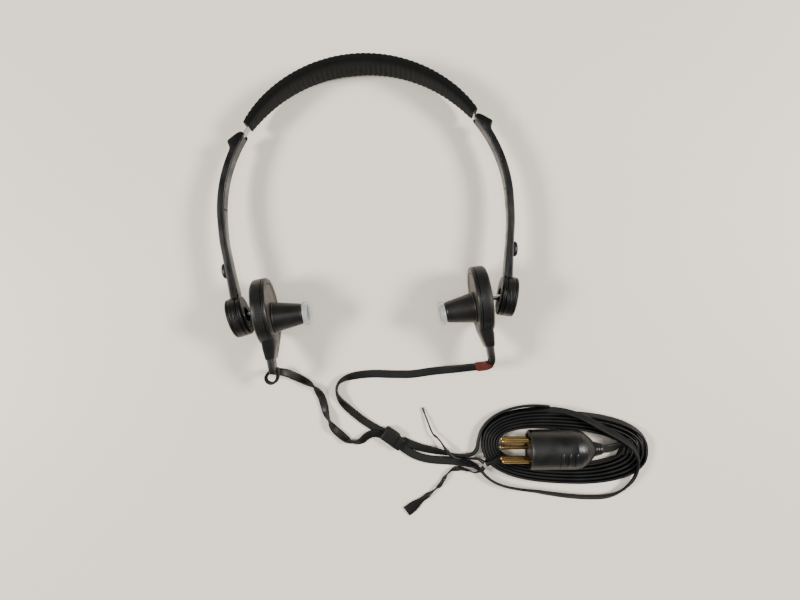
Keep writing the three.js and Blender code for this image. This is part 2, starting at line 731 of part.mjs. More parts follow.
// Twist tie: a band round the turns, and its two free ends.
function tieBand() {
  const wall = 0.35;
  const halfWidth = HANK_TURN_BAND / 2 + 4 * GAP + wall;
  const height = HANK_LIFT + HANK_HEIGHT + GAP + wall;
  const outline = new THREE.Shape();
  outline.moveTo(-halfWidth, 0);
  outline.lineTo(halfWidth, 0);
  outline.lineTo(halfWidth, height);
  outline.lineTo(-halfWidth, height);
  const hole = new THREE.Path();
  hole.moveTo(-halfWidth + wall, wall);
  hole.lineTo(-halfWidth + wall, height - wall);
  hole.lineTo(halfWidth - wall, height - wall);
  hole.lineTo(halfWidth - wall, wall);
  outline.holes.push(hole);
  return slab(outline, 3.4).rotateX(Math.PI / 2);
}
const band = piece("tie_band", tieBand(), "tie");
band.position.set(52.7, -124.3, 0);
band.rotation.z = THREE.MathUtils.degToRad(22);
cable.add(band);

const TIE_THIN_END = [
  [47.4, -127.5, 6],
  [42.9, -125, 6.6],
  [35.4, -120.5, 6.2],
  [28, -115.9, 5.4],
  [24.7, -111.9, 4],
  [21.5, -108.3, 2.6],
  [19.6, -103.3, 1.4],
  [18.5, -96.8, 0.9],
];
const TIE_FLAT_END = [
  [47.2, -129.6, 4.4],
  [39.8, -128.8, 3.2],
  [32.8, -127.5, 2.4],
  [28.8, -129.6, 1.8],
  [25.3, -133.9, 1.4],
  [21.2, -137.3, 1.1],
  [15.1, -141.2, 1],
  [7.6, -146.3, 0.9],
];
cable.add(piece("tie_thin_end", tube(TIE_THIN_END, 0.55, 14), "tie"));
cable.add(piece("tie_flat_end", tube(TIE_FLAT_END, 0.85, 14), "tie"));

const placed = new THREE.Group();
placed.position.copy(ORIGIN_SHIFT);
placed.add(headset, cable);

const headphones = new THREE.Group();
headphones.add(placed);
export default headphones;
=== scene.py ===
import math
import bmesh
import bpy
import numpy as np
from mathutils import Matrix, Vector


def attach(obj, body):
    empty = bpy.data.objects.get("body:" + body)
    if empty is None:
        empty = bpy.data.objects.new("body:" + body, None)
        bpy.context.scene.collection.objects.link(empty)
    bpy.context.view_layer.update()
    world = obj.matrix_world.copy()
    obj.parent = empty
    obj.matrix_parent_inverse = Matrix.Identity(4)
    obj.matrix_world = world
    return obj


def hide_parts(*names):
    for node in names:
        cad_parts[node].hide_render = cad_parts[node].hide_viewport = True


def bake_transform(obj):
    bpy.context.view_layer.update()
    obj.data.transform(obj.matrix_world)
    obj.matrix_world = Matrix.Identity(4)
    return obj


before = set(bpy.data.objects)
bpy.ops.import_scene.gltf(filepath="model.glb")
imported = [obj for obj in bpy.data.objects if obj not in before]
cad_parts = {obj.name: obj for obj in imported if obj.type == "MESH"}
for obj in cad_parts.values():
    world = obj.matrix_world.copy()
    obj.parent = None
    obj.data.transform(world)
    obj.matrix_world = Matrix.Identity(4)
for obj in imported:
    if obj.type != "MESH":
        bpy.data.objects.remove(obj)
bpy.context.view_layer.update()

# Table, light and camera ----------------------------------------------------------------------
# The headphones lie on a smooth off-white laminate table top between two windows, under a long
# weak ceiling light. The camera hangs straight above them, turned a little.

def colour(code):
    channels = [int(code[i:i + 2], 16) / 255 for i in (0, 2, 4)]
    return [c / 12.92 if c <= 0.04045 else ((c + 0.055) / 1.055) ** 2.4 for c in channels] + [1.0]


def plain_material(name, code, roughness):
    material = bpy.data.materials.new(name)
    material.use_nodes = True
    nodes = material.node_tree.nodes
    nodes.clear()
    shader = nodes.new("ShaderNodeBsdfPrincipled")
    shader.inputs["Base Color"].default_value = colour(code)
    shader.inputs["Roughness"].default_value = roughness
    output = nodes.new("ShaderNodeOutputMaterial")
    material.node_tree.links.new(shader.outputs["BSDF"], output.inputs["Surface"])
    return material, shader


def table_top():
    mesh = bpy.data.meshes.new("table_top")
    reach = 1.6
    corners = [(-reach, -reach, 0), (reach, -reach, 0), (reach, reach, 0), (-reach, reach, 0)]
    mesh.from_pydata(corners, [], [(0, 1, 2, 3)])
    top = bpy.data.objects.new("table_top", mesh)
    bpy.context.collection.objects.link(top)
    material, shader = plain_material("laminate", "e5ddd0", 0.5)
    nodes, links = material.node_tree.nodes, material.node_tree.links
    place = nodes.new("ShaderNodeTexCoord")
    cloud = nodes.new("ShaderNodeTexNoise")
    cloud.inputs["Scale"].default_value = 7
    links.new(place.outputs["Object"], cloud.inputs["Vector"])
    tint = nodes.new("ShaderNodeMix")
    tint.data_type = "RGBA"
    tint.inputs[6].default_value = colour("e9e2d5")
    tint.inputs[7].default_value = colour("e0d8ca")
    links.new(cloud.outputs["Fac"], tint.inputs[0])
    links.new(tint.outputs[2], shader.inputs["Base Color"])
    mesh.materials.append(material)


def soft_light(name, place, aim, size, power, tint="ffffff"):
    data = bpy.data.lights.new(name, "AREA")
    data.shape = "RECTANGLE"
    data.size, data.size_y = size
    data.energy = power
    data.color = colour(tint)[:3]
    light = bpy.data.objects.new(name, data)
    light.location = place
    light.rotation_euler = (Vector(aim) - Vector(place)).to_track_quat("-Z", "Y").to_euler()
    bpy.context.collection.objects.link(light)


def overhead_camera():
    data = bpy.data.cameras.new("camera")
    data.sensor_width = 36
    data.lens = 27
    camera = bpy.data.objects.new("camera", data)
    camera.location = (0.0127, -0.0431, 0.300)
    camera.rotation_euler = (0, 0, math.radians(-4.8))
    bpy.context.collection.objects.link(camera)
    bpy.context.scene.camera = camera


table_top()
soft_light("window_left", (-1.0, -0.03, 0.84), (0, -0.03, 0), (0.38, 0.3), 22.5, "fffcf7")
soft_light("window_right", (1.0, 0.01, 0.84), (0, -0.03, 0), (0.38, 0.3), 22.5, "fffcf7")
soft_light("ceiling", (0.05, 0.0, 1.5), (0, 0, 0), (0.9, 0.05), 4, "fffdfa")
sky = bpy.data.worlds.new("room")
sky.use_nodes = True
sky.node_tree.nodes["Background"].inputs["Color"].default_value = (1.0, 1.0, 1.0, 1)
sky.node_tree.nodes["Background"].inputs["Strength"].default_value = 0.3
bpy.context.scene.world = sky
overhead_camera()

# Flat cable -----------------------------------------------------------------------------------
# A flat moulded cable, 4 by 1.3 mm, with five conductors side by side in a near-black jacket.
# It runs from each ear piece to the joint, and from there into the wound hank and the plug.

MM = 0.001
CABLE_WIDTH = 4.0
CABLE_THICKNESS = 1.3
CONDUCTORS = 5
GROOVE_DEPTH = 0.17
TABLE_GAP = 0.05
LEAD_STEP = 0.8
LENGTH_PER_BODY = 31


def smear_and_grain():
    """Moulding grain as a normal, and two soft masks: a cloudy one and a fine dusty one."""
    group = bpy.data.node_groups.new("smear_and_grain", "ShaderNodeTree")
    face = group.interface
    for label, value in (("Grain Scale", 2500), ("Grain Depth", 0.2)):
        socket = face.new_socket(label, in_out="INPUT", socket_type="NodeSocketFloat")
        socket.default_value = value
    for label in ("Smear", "Dust"):
        face.new_socket(label, in_out="OUTPUT", socket_type="NodeSocketFloat")
    face.new_socket("Normal", in_out="OUTPUT", socket_type="NodeSocketVector")
    nodes, links = group.nodes, group.links
    inlet, outlet = nodes.new("NodeGroupInput"), nodes.new("NodeGroupOutput")
    place = nodes.new("ShaderNodeTexCoord")
    grain = nodes.new("ShaderNodeTexNoise")
    grain.inputs["Detail"].default_value = 3
    links.new(place.outputs["Object"], grain.inputs["Vector"])
    links.new(inlet.outputs["Grain Scale"], grain.inputs["Scale"])
    bump = nodes.new("ShaderNodeBump")
    bump.inputs["Distance"].default_value = 0.0001
    links.new(grain.outputs["Fac"], bump.inputs["Height"])
    links.new(inlet.outputs["Grain Depth"], bump.inputs["Strength"])
    cloud = nodes.new("ShaderNodeTexNoise")
    cloud.inputs["Scale"].default_value = 140
    cloud.inputs["Detail"].default_value = 4
    links.new(place.outputs["Object"], cloud.inputs["Vector"])
    smear = nodes.new("ShaderNodeMapRange")
    smear.inputs["From Min"].default_value = 0.35
    smear.inputs["From Max"].default_value = 0.7
    links.new(cloud.outputs["Fac"], smear.inputs["Value"])
    speck = nodes.new("ShaderNodeTexNoise")
    speck.inputs["Scale"].default_value = 1400
    speck.inputs["Detail"].default_value = 2
    links.new(place.outputs["Object"], speck.inputs["Vector"])
    dust = nodes.new("ShaderNodeMapRange")
    dust.inputs["From Min"].default_value = 0.6
    dust.inputs["From Max"].default_value = 0.75
    links.new(speck.outputs["Fac"], dust.inputs["Value"])
    links.new(smear.outputs["Result"], outlet.inputs["Smear"])
    links.new(dust.outputs["Result"], outlet.inputs["Dust"])
    links.new(bump.outputs["Normal"], outlet.inputs["Normal"])
    return group


grain_group = smear_and_grain()


def worn_material(name, code, worn_code, roughness, spread=0.15, scale=2500, depth=0.2,
                  **constants):
    """A moulded finish: its colour drifts towards a worn or dusty tone, and its gloss varies."""
    material, shader = plain_material(name, code, roughness)
    nodes, links = material.node_tree.nodes, material.node_tree.links
    surface = nodes.new("ShaderNodeGroup")
    surface.node_tree = grain_group
    surface.inputs["Grain Scale"].default_value = scale
    surface.inputs["Grain Depth"].default_value = depth
    share = nodes.new("ShaderNodeMath")
    share.operation = "MULTIPLY_ADD"
    share.inputs[1].default_value = 0.35
    links.new(surface.outputs["Smear"], share.inputs[0])
    fleck = nodes.new("ShaderNodeMath")
    fleck.operation = "MULTIPLY"
    fleck.inputs[1].default_value = 0.4
    links.new(surface.outputs["Dust"], fleck.inputs[0])
    links.new(fleck.outputs[0], share.inputs[2])
    tint = nodes.new("ShaderNodeMix")
    tint.data_type = "RGBA"
    tint.inputs[6].default_value = colour(code)
    tint.inputs[7].default_value = colour(worn_code)
    links.new(share.outputs[0], tint.inputs[0])
    links.new(tint.outputs[2], shader.inputs["Base Color"])
    gloss = nodes.new("ShaderNodeMapRange")
    gloss.inputs["To Min"].default_value = roughness - spread / 2
    gloss.inputs["To Max"].default_value = roughness + spread / 2
    links.new(surface.outputs["Smear"], gloss.inputs["Value"])
    links.new(gloss.outputs["Result"], shader.inputs["Roughness"])
    links.new(surface.outputs["Normal"], shader.inputs["Normal"])
    for socket, value in constants.items():
        shader.inputs[socket.replace("_", " ")].default_value = value
    return material


def finished_piece(name, mesh_data, material, replaced=(), sharp=34):
    """Makes a piece of a bmesh: smooth, with the edges sharper than an angle kept crisp."""
    bmesh.ops.remove_doubles(mesh_data, verts=mesh_data.verts, dist=2e-6)
    bmesh.ops.recalc_face_normals(mesh_data, faces=mesh_data.faces)
    for face in mesh_data.faces:
        face.smooth = True
    for edge in mesh_data.edges:
        edge.smooth = not edge.is_manifold or edge.calc_face_angle(0) < math.radians(sharp)
    mesh = bpy.data.meshes.new(name)
    mesh_data.to_mesh(mesh)
    mesh_data.free()
    piece = bpy.data.objects.new(name, mesh)
    bpy.context.collection.objects.link(piece)
    mesh.materials.append(material)
    if replaced:
        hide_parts(*replaced)
    return piece


def refinish(node, material):
    """Gives a piece that keeps its first shape a material of its own."""
    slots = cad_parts[node].data.materials
    slots.clear()
    slots.append(material)


def squared_off(value, power):
    """A sine or cosine pushed towards its ends, which makes a circle squarer."""
    return math.copysign(abs(value) ** power, value)


def skin(made, rings):
    """Joins each ring of points to the next by a strip of faces."""
    for ring, following in zip(rings, rings[1:]):
        for k in range(len(ring)):
            n = (k + 1) % len(ring)
            made.faces.new((ring[k], ring[n], following[n], following[k]))


def smooth_route(points, step):
    """Catmull-Rom through listed points (x, y, z, roll) in mm, resampled at an even step."""
    p = np.array(points, float)
    p = np.vstack([2 * p[0] - p[1], p, 2 * p[-1] - p[-2]])
    dense = []
    for i in range(1, len(p) - 2):
        for t in np.linspace(0, 1, 24, endpoint=False):
            a, b, c, d = p[i - 1], p[i], p[i + 1], p[i + 2]
            dense.append(0.5 * (2 * b + (c - a) * t + (2 * a - 5 * b + 4 * c - d) * t ** 2
                                + (3 * b - a - 3 * c + d) * t ** 3))
    dense.append(p[-2])
    dense = np.array(dense)
    run = np.concatenate([[0], np.cumsum(np.linalg.norm(np.diff(dense[:, :3], axis=0), axis=1))])
    count = max(2, int(round(run[-1] / step)) + 1)
    even = np.linspace(0, run[-1], count)
    return np.column_stack([np.interp(even, run, dense[:, k]) for k in range(4)])


def swept(route, section):
    """A closed solid that carries a section of (across, up) points along a route with its roll."""
    made = bmesh.new()
    rings = []
    for i, (x, y, z, roll) in enumerate(route):
        here = Vector((x, y, z))
        ahead = Vector(route[min(i + 1, len(route) - 1)][:3])
        behind = Vector(route[max(i - 1, 0)][:3])
        along = (ahead - behind).normalized()
        side = along.cross(Vector((0, 0, 1))).normalized()
        lift = side.cross(along)
        turn = math.radians(roll)
        wide = side * math.cos(turn) + lift * math.sin(turn)
        thick = lift * math.cos(turn) - side * math.sin(turn)
        shape = section(i / (len(route) - 1)) if callable(section) else section
        rings.append([made.verts.new((here + wide * w + thick * t) * MM) for w, t in shape])
    skin(made, rings)
    made.faces.new(list(reversed(rings[0])))
    made.faces.new(rings[-1])
    return made


def cable_section():
    """One lobe for each conductor, with shallow grooves between them."""
    half, crest = CABLE_WIDTH / 2, CABLE_THICKNESS / 2
    last = CONDUCTORS - 1
    top = [(-half + 0.12, 0.4)]
    for i in range(CONDUCTORS):
        centre = -half + CABLE_WIDTH * (i + 0.5) / CONDUCTORS
        top.append((centre, crest - (0.04 if i in (0, last) else 0)))
        if i < last:
            top.append((centre + CABLE_WIDTH / CONDUCTORS / 2, crest - GROOVE_DEPTH))
    top.append((half - 0.12, 0.4))
    under = [(-w, -t) for w, t in top]
    return top + [(half, 0)] + under + [(-half, 0)]


def resting_height(roll):
    """How high the cable's middle lies when the cable touches the table at this roll."""
    turn = math.radians(roll)
    on_edge = CABLE_WIDTH / 2 - TABLE_GAP
    return (TABLE_GAP + abs(math.sin(turn)) * on_edge
            + abs(math.cos(turn)) * CABLE_THICKNESS / 2)


def on_table(points):
    return [(x, y, resting_height(roll), roll) for x, y, roll in points]


jacket = worn_material("cable_jacket", "0a0b0b", "171818", 0.5, 0.2, 3000, 0.12,
                       Specular_IOR_Level=0.22)

# Each lead leaves the end of its tail, comes down to the table and runs to the joint.
LEFT_LEAD = [
    (-47.8, -70.6, 16.6, 90), (-47.8, -72.4, 16, 90), (-48.2, -74.7, 15.2, 90),
    (-49.4, -76.6, 14.2, 90), (-51.4, -77.6, 13, 90), (-53.3, -77.3, 11.8, 90),
    (-54.6, -76.1, 10.6, 88), (-54.8, -74.6, 9.4, 84), (-54.0, -73.4, 8.2, 76),
    (-52.4, -73.0, 7, 62), (-50.4, -73.1, 5.6, 42), (-48.2, -73.6, 4.2, 24),
    (-45.8, -74.6, 2.9, 14), (-43.5, -76.0, 1.8, 10),
] + on_table([
    (-41.0, -77.5, 12), (-37.3, -79.6, 40), (-34.2, -81.8, 88), (-32.0, -84.5, 140),
    (-30.3, -88.0, 172), (-29.4, -92.1, 176), (-28.5, -96.6, 140), (-27.2, -100.4, 92),
    (-25.6, -103.6, 45), (-23.2, -106.6, 12), (-20.3, -109.3, 30), (-17.7, -111.1, 84),
    (-15.0, -111.8, 118), (-12.2, -111.1, 148), (-9.8, -109.5, 160), (-7.4, -108.4, 164),
    (-4.6, -108.4, 168), (-1.6, -109.4, 176),
])
RIGHT_LEAD = [
    (53.5, -74.4, 16.6, 20), (53.3, -76.0, 15.7, 20), (52.3, -77.2, 14.4, 24),
    (51.0, -77.8, 13, 26), (48.9, -78.2, 11, 24), (45.8, -78.5, 8.6, 20), (42.1, -78.9, 6.2, 16),
    (37.4, -79.3, 3.8, 12), (31.6, -79.6, 1.9, 8),
] + on_table([
    (24.6, -79.9, 4), (16.1, -80.4, 2), (9.6, -80.0, 0), (3.6, -79.4, 2), (-2.3, -78.7, 4),
    (-8.3, -78.5, 8), (-13.3, -78.8, 20), (-17.8, -79.7, 52), (-21.2, -81.9, 84),
    (-22.5, -85.5, 96), (-21.2, -89.7, 128), (-18.5, -93.5, 160), (-14.9, -97.3, 172),
    (-10.7, -101.2, 176), (-6.9, -104.2, 180), (-3.4, -106.6, 180), (-0.6, -108.6, 180),
])


def cable_piece(name, route, replaced):
    return finished_piece(name, swept(route, cable_section()), jacket,
                          replaced, 60)


def lead(side, points):
    """Three lengths in a row, from ear piece to band."""
    route = smooth_route(points, LEAD_STEP)
    first = int(LENGTH_PER_BODY / LEAD_STEP)
    second = 2 * first
    lengths = [route[:first + 1], route[first:second + 1], route[second:]]
    names = ["lead_by_tail", "lead_middle", "lead_by_joint"]
    replaced = [[side + "_lead_start"], [side + "_lead"], [side + "_lead"]]
    pieces = []
    for i, part in enumerate(lengths):
        piece = cable_piece(side + "_" + names[i], part, replaced[i])
        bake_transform(piece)
        pieces.append(piece)
    return lengths, pieces


left_lengths, left_pieces = lead("left", LEFT_LEAD)
right_lengths, right_pieces = lead("right", RIGHT_LEAD)

# Wound cable ----------------------------------------------------------------------------------
# The cable from the joint is wound by hand into a flat oval hank round its own plug. The turns
# stand on edge beside each other, and the outermost one has come loose at the lower right.

HANK_CENTRE = Vector((87.56, -122.29))
HANK_HALF_LENGTH = 41
HANK_HALF_WIDTH = 18.6
HANK_LEAN = math.radians(-7.8)
HANK_SQUARENESS = 2.5
HANK_RIGHT_BULGE = 2.4
OUTER_TURN_INSET = CABLE_THICKNESS / 2
TURN_PITCH = 1.49
FIRST_TURN_ANGLE = 116
LAST_TURN_ANGLE = 2138


def hank_point(angle, inset):
    """A point of a turn. The turns lie closer together at the left end than at the right."""
    a = math.radians(angle)
    rightward = max(0, math.cos(a)) ** 2
    spread = 0.9 + 0.13 * (1 + math.cos(a)) + 0.39 * rightward + 0.08 * abs(math.sin(a))
    inward = OUTER_TURN_INSET + (inset - OUTER_TURN_INSET) * spread
    power = 2 / HANK_SQUARENESS
    x = (HANK_HALF_LENGTH - inward) * squared_off(math.cos(a), power)
    x += HANK_RIGHT_BULGE * rightward
    y = (HANK_HALF_WIDTH - inward) * squared_off(math.sin(a), power)
    c, s = math.cos(HANK_LEAN), math.sin(HANK_LEAN)
    return HANK_CENTRE.x + x * c - y * s, HANK_CENTRE.y + x * s + y * c


def turn_lean(angle):
    """A turn's roll: on edge, leaning in at the top and right sides and out at the bottom."""
    a = math.radians(angle)
    return 90 + 20 * max(0, math.sin(a)) + 12 * max(0, math.cos(a)) - 10 * max(0, -math.sin(a))


def wound_turns(first, last):
    points = []
    for angle in np.arange(first, last, 9.0):
        inset = OUTER_TURN_INSET + TURN_PITCH * (angle - first) / 360
        x, y = hank_point(angle, inset)
        roll = turn_lean(angle)
        lift = 0.42 * max(0, -math.cos(math.radians(angle))) ** 4
        points.append((x, y, resting_height(roll) + lift, roll))
    return points


LOWER_STRAND = on_table([
    (6.2, -114.9, 0), (9.4, -117.8, 2), (13.0, -120.3, 6), (17.0, -122.2, 8), (21.4, -123.5, 8),
    (25.8, -124.3, 8), (30.3, -124.9, 10), (34.7, -125.6, 20), (38.9, -126.6, 40),
    (42.6, -128.1, 66),
])
LOOSE_TURN = [
    (45.4, -130.4, 2.0, 84), (47.9, -133.8, 2.0, 92), (51.8, -137.2, 2.0, 100),
    (57.4, -139.9, 2.0, 104), (64.3, -141.9, 1.95, 108), (71.6, -143.4, 1.85, 114),
    (79.0, -145.2, 1.75, 122), (88.9, -147.3, 1.65, 128), (98.7, -148.7, 1.65, 130),
    (107.7, -148.9, 1.7, 126), (114.7, -146.5, 1.9, 116), (120.2, -141.6, 2.7, 106),
    (122.6, -135.2, 4.6, 108), (122.5, -129.4, 5.9, 120), (120.1, -124.2, 6.15, 130),
    (115.0, -119.6, 6.15, 136), (108.5, -115.2, 6.1, 138), (101.1, -110.3, 6.1, 136),
    (94.2, -106.4, 5.9, 130), (86.8, -103.9, 5.2, 122), (79.2, -102.9, 3.8, 114),
]
TO_PLUG = [
    (116.4, -124.9, 3.2, 60), (114.4, -123.4, 5.0, 40), (111.4, -123.2, 7.2, 22),
    (108.0, -123.2, 9.1, 8), (104.7, -123.2, 9.7, 0),
]
wound = wound_turns(FIRST_TURN_ANGLE, LAST_TURN_ANGLE)
trunk_route = smooth_route(LOWER_STRAND + LOOSE_TURN + wound + TO_PLUG, 1.2)
trunk = cable_piece("trunk_cable", trunk_route,
                    ["trunk_lower", "loose_loop", "cable_hank", "plug_lead"])
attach(trunk, "headband")

# The second strand comes out of the joint beside the first and tucks in under the loose turn.
UPPER_STRAND = on_table([
    (8.4, -112.9, 180), (12.4, -115.2, 178), (16.9, -117.2, 172), (21.8, -118.7, 160),
    (26.2, -119.9, 140), (30.0, -121.0, 118), (34.0, -122.0, 100), (38.6, -122.7, 92),
    (42.4, -122.2, 88), (44.6, -119.8, 88), (45.5, -116.2, 90), (47.3, -111.5, 92),
    (50.8, -107.2, 96), (55.8, -103.9, 98), (62.0, -101.8, 100), (69.0, -100.8, 100),
    (76.0, -101.0, 98), (82.0, -101.9, 95),
])
upper_route = smooth_route(UPPER_STRAND, 1.0)
upper = cable_piece("trunk_second_strand", upper_route, ["trunk_upper"])
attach(upper, "headband")

# Joint moulding -------------------------------------------------------------------------------
# A flat soft rubber moulding closes round the two leads and the two strands of the cable.
# It is thicker and wider on the leads' side, steps down across its middle, and is rounded all
# round.

JOINT_CENTRE = Vector((3.45, -111.4, 2.3))
JOINT_TURN = math.radians(-39)
rubber = worn_material("soft_rubber", "070707", "131313", 0.5, 0.2, 2200, 0.3,
                       Specular_IOR_Level=0.2)


def rounded_block(size, offset, edge):
    """A block turned with the joint, placed by its offset from it, with its edges rounded."""
    made = bmesh.new()
    bmesh.ops.create_cube(made, size=1)
    for vert in made.verts:
        vert.co = [a * b for a, b in zip(size, vert.co)]
    bmesh.ops.bevel(made, geom=made.edges[:], offset=edge, segments=4, affect="EDGES",
                    profile=0.6)
    matrix = Matrix.Translation(JOINT_CENTRE + Vector(offset)) @ Matrix.Rotation(JOINT_TURN, 4, "Z")
    for vert in made.verts:
        vert.co = matrix @ vert.co * MM
    return made


def joint_moulding():
    made = bmesh.new()
    for size, offset, edge in (((8.4, 7.4, 4.4), (-1.2, 1.4, 0), 1.5),
                               ((6.2, 6.6, 3.7), (1.9, -1.9, -0.35), 1.2)):
        half = rounded_block(size, offset, edge)
        scratch = bpy.data.meshes.new("scratch")
        half.to_mesh(scratch)
        half.free()
        made.from_mesh(scratch)
        bpy.data.meshes.remove(scratch)
    return made


splitter = finished_piece("cable_joint", joint_moulding(), rubber, ["splitter"])
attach(splitter, "headband")

# Marker sleeve --------------------------------------------------------------------------------
# A short length of dull red shrink sleeve marks the right lead just after its tail. It is shrunk
# on so that it shows the shape of the cable inside.

marker_red = worn_material("marker_red", "4a120b", "6a2418", 0.55, 0.2, 1800, 0.3,
                           Specular_IOR_Level=0.3)


def sleeve_section(share):
    swell = 0.12 * math.sin(math.pi * min(1, max(0, share))) ** 0.3
    half, thick = 2.35 + swell * 0.3, 0.95 + swell
    return [(-half, -0.3), (-half, 0.3), (-half + 0.35, thick), (0, thick + 0.05),
            (half - 0.35, thick), (half, 0.3), (half, -0.3), (half - 0.35, -thick),
            (0, -thick - 0.05), (-half + 0.35, -thick)]


sleeve_route = right_lengths[0][4:15]
marker = finished_piece("red_sleeve", swept(sleeve_route, sleeve_section), marker_red,
                        ["red_marker_sleeve"], 40)
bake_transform(marker)

# Spring strip ---------------------------------------------------------------------------------
# A narrow strip of bright spring steel, rolled to the band's curve. It shows between the pad and
# each arm.

spring_steel = worn_material("spring_steel", "c9ccca", "9fa19e", 0.28, 0.18, 1500, 0.08,
                             Metallic=0.95)
refinish("spring_strip", spring_steel)

# Headband pad ---------------------------------------------------------------------------------
# A dark foam pad threaded on the strip: thick and wide at the crown, thinner and narrower to its
# ends, with fine moulded ribs across it that show as a serrated edge.

BAND_TILT = math.radians(3.1)
HEADSET_PLACE = (0.155, -45.485, 16.101)
ARC_CENTRE_Y = 48
PAD_FIRST = 36.3
PAD_LAST = 140.7
PAD_INNER = 67.0
PAD_OUTER = 71.0
PAD_END_WIDTH = 12.2
RIB_PITCH = 2.1
RIB_HEIGHT = 0.3
SLOT_INNER = 67.65
SLOT_OUTER = 68.65
SLOT_WIDTH = 6.2
headset = Matrix.Translation(HEADSET_PLACE) @ Matrix.Rotation(-BAND_TILT, 4, "X")


def foam_material():
    material, shader = plain_material("pad_foam", "111412", 0.95)
    nodes, links = material.node_tree.nodes, material.node_tree.links
    place = nodes.new("ShaderNodeTexCoord")
    cells = nodes.new("ShaderNodeTexVoronoi")
    cells.inputs["Scale"].default_value = 2600
    links.new(place.outputs["Object"], cells.inputs["Vector"])
    fuzz = nodes.new("ShaderNodeTexNoise")
    fuzz.inputs["Scale"].default_value = 900
    fuzz.inputs["Detail"].default_value = 5
    links.new(place.outputs["Object"], fuzz.inputs["Vector"])
    height = nodes.new("ShaderNodeMath")
    height.operation = "MULTIPLY_ADD"
    height.inputs[1].default_value = 0.6
    links.new(cells.outputs["Distance"], height.inputs[0])
    links.new(fuzz.outputs["Fac"], height.inputs[2])
    bump = nodes.new("ShaderNodeBump")
    bump.inputs["Strength"].default_value = 0.7
    bump.inputs["Distance"].default_value = 0.0003
    links.new(height.outputs[0], bump.inputs["Height"])
    links.new(bump.outputs["Normal"], shader.inputs["Normal"])
    tint = nodes.new("ShaderNodeMix")
    tint.data_type = "RGBA"
    tint.inputs[6].default_value = colour("020302")
    tint.inputs[7].default_value = colour("090c0a")
    links.new(fuzz.outputs["Fac"], tint.inputs[0])
    links.new(tint.outputs[2], shader.inputs["Base Color"])
    shader.inputs["Specular IOR Level"].default_value = 0.15
    shader.inputs["Sheen Weight"].default_value = 0.04
    shader.inputs["Sheen Roughness"].default_value = 0.5
    return material


def pad_form():
    """The ribbed outside and the slot for the strip, joined at the pad's two ends."""
    made = bmesh.new()
    stations = 280
    around = 36

    def point(radius, angle, level):
        a = math.radians(angle)
        return made.verts.new(headset @ Vector(
            (radius * math.cos(a), ARC_CENTRE_Y + radius * math.sin(a), level)) * MM)

    outer_rings, slot_rings = [], []
    for i in range(stations + 1):
        share = i / stations
        angle = PAD_FIRST + share * (PAD_LAST - PAD_FIRST)
        crown = math.sin(math.pi * share)
        end = min(1, 9 * min(share, 1 - share)) ** 0.5
        outer = PAD_OUTER + 1.5 * crown ** 0.6
        width = (PAD_END_WIDTH + 6.2 * crown ** 0.8) * (0.9 + 0.1 * end)
        rib = RIB_HEIGHT * (0.5 + 0.5 * math.cos(2 * math.pi * angle / RIB_PITCH)) ** 0.6
        half_deep = (outer - PAD_INNER) / 2 - RIB_HEIGHT + rib
        ring = []
        for k in range(around):
            b = 2 * math.pi * k / around
            u, v = squared_off(math.cos(b), 0.55), squared_off(math.sin(b), 0.55)
            radius = (outer + PAD_INNER) / 2 + u * half_deep * (0.92 + 0.08 * end)
            ring.append(point(radius, angle, v * (width / 2 - RIB_HEIGHT + rib * 0.4)))
        outer_rings.append(ring)
        if i % 20 == 0:
            slot_rings.append([point(radius, angle, level) for radius, level in (
                (SLOT_INNER, -SLOT_WIDTH / 2), (SLOT_OUTER, -SLOT_WIDTH / 2),
                (SLOT_OUTER, SLOT_WIDTH / 2), (SLOT_INNER, SLOT_WIDTH / 2))])
    skin(made, outer_rings)
    skin(made, slot_rings)
    for rim, hole in ((outer_rings[0], slot_rings[0]), (outer_rings[-1], slot_rings[-1])):
        edges = []
        for ring in (rim, hole):
            for k in range(len(ring)):
                pair = (ring[k], ring[(k + 1) % len(ring)])
                edges.append(made.edges.get(pair) or made.edges.new(pair))
        bmesh.ops.triangle_fill(made, use_beauty=True, edges=edges)
    return made


pad = finished_piece("ribbed_foam_pad", pad_form(), foam_material(),
                     ["headband_pad"], 50)
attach(pad, "headband")

# Sliding arms ---------------------------------------------------------------------------------
# Each arm is a curved black moulding whose channel slides on the strip, with a thumb ridge at its
# top and a round cup at its foot. A thin dark strip closes the channel from inside.

ARM_INNER = 66.9
ARM_OUTER = 70.3
ARM_WIDTH = 7.4
ARM_TOP = 35.6
CHANNEL_TOP = 38
CHANNEL_FOOT = 3
REST_SLIDE = 0.4
STUD_PLACE = (68.5, 22.6, 0)
arm_plastic = worn_material("arm_plastic", "060606", "121211", 0.36, 0.2, 2600, 0.18,
                            Specular_IOR_Level=0.3)
cover_plastic = worn_material("cover_plastic", "0b0b0d", "1a1a1d", 0.4, 0.2, 2600, 0.2)


def side_frame(side):
    """From one side's own drawing, made as the +X side, to the scene's frame in mm.

    At rest the right arm has slid out a little from its drawn place, and the left arm in.
    """
    sign = 1 if side == "right" else -1
    return (headset @ Matrix.Diagonal((sign, 1, 1, 1)) @ Matrix.Translation((0, ARC_CENTRE_Y, 0))
            @ Matrix.Rotation(math.radians(-REST_SLIDE * sign), 4, "Z")
            @ Matrix.Translation((0, -ARC_CENTRE_Y, 0)))


def on_arc(radius, angle):
    a = math.radians(angle)
    return radius * math.cos(a), ARC_CENTRE_Y + radius * math.sin(a)


def plane_curve(points, count):
    """A smooth curve through a few points of the drawing, as an even run of points."""
    route = smooth_route([(x, y, 0, 0) for x, y in points], 0.5)
    picked = np.linspace(0, len(route) - 1, count).round().astype(int)
    return [tuple(route[i][:2]) for i in picked]


